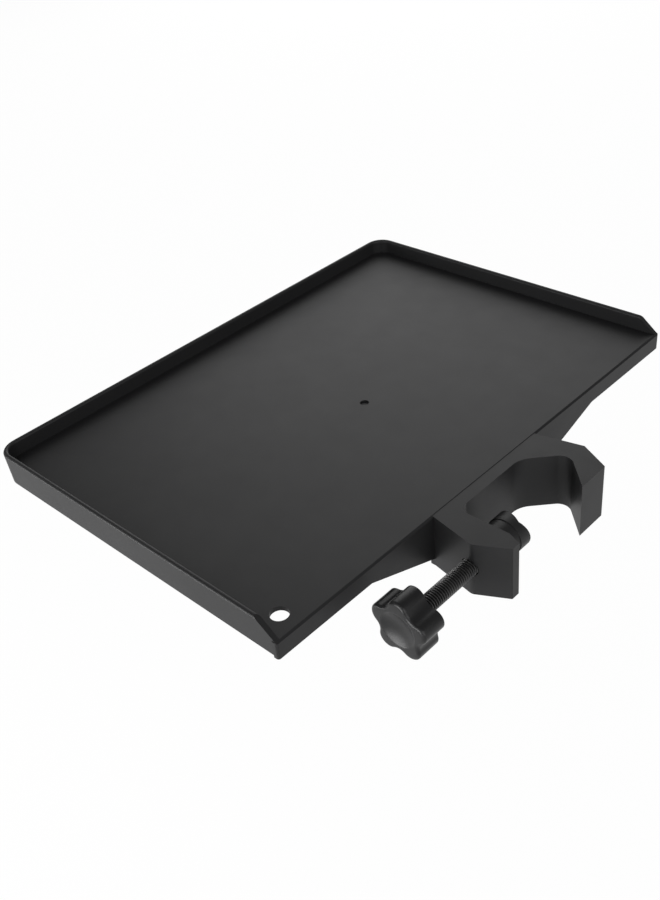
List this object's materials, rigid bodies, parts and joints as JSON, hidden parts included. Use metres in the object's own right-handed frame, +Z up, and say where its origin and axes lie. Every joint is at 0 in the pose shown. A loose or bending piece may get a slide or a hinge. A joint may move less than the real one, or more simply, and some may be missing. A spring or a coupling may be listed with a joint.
{
  "type": "microphone stand tray",
  "caption": "Shallow rectangular tray with a hooked screw clamp at its front edge that holds it level on the pole of a microphone or music stand.",
  "frame": {"origin": "on the axis of a 22 mm pole seated in the hook's vee, level with the axis of the hand screw", "axes": "+X along the tray's long front edge, away from the knob; +Y from the pole towards the back of the tray; +Z up, along the pole"},
  "size_m": [0.275, 0.2278, 0.035],
  "materials": {
    "tray_plastic": "black, fine satin texture",
    "zinc_steel": "bright zinc plated",
    "black_steel": "black oxide, lightly oiled",
    "knob_plastic": "black, slightly glossier than the tray",
    "pad_plastic": "black, satin"
  },
  "bodies": {
    "tray": {"tray": "tray_plastic", "captive_nut": "zinc_steel"},
    "pad": {"pressure_pad": "pad_plastic"},
    "screw": {"clamp_screw": "black_steel", "star_knob": "knob_plastic"}
  },
  "joints": [
    {"name": "pad_slide", "type": "slide", "parent": "tray", "child": "pad", "axis": [1, 0, 0], "range_m": [0, 0.03]},
    {"name": "screw_turn", "type": "hinge", "parent": "pad", "child": "screw", "pos_m": [0, 0, 0], "axis": [1, 0, 0], "range_deg": [0, 8641]}
  ],
  "couplings": [
    {"joint": "screw_turn", "follows": "pad_slide", "rad_per_m": 5026.5}
  ]
}
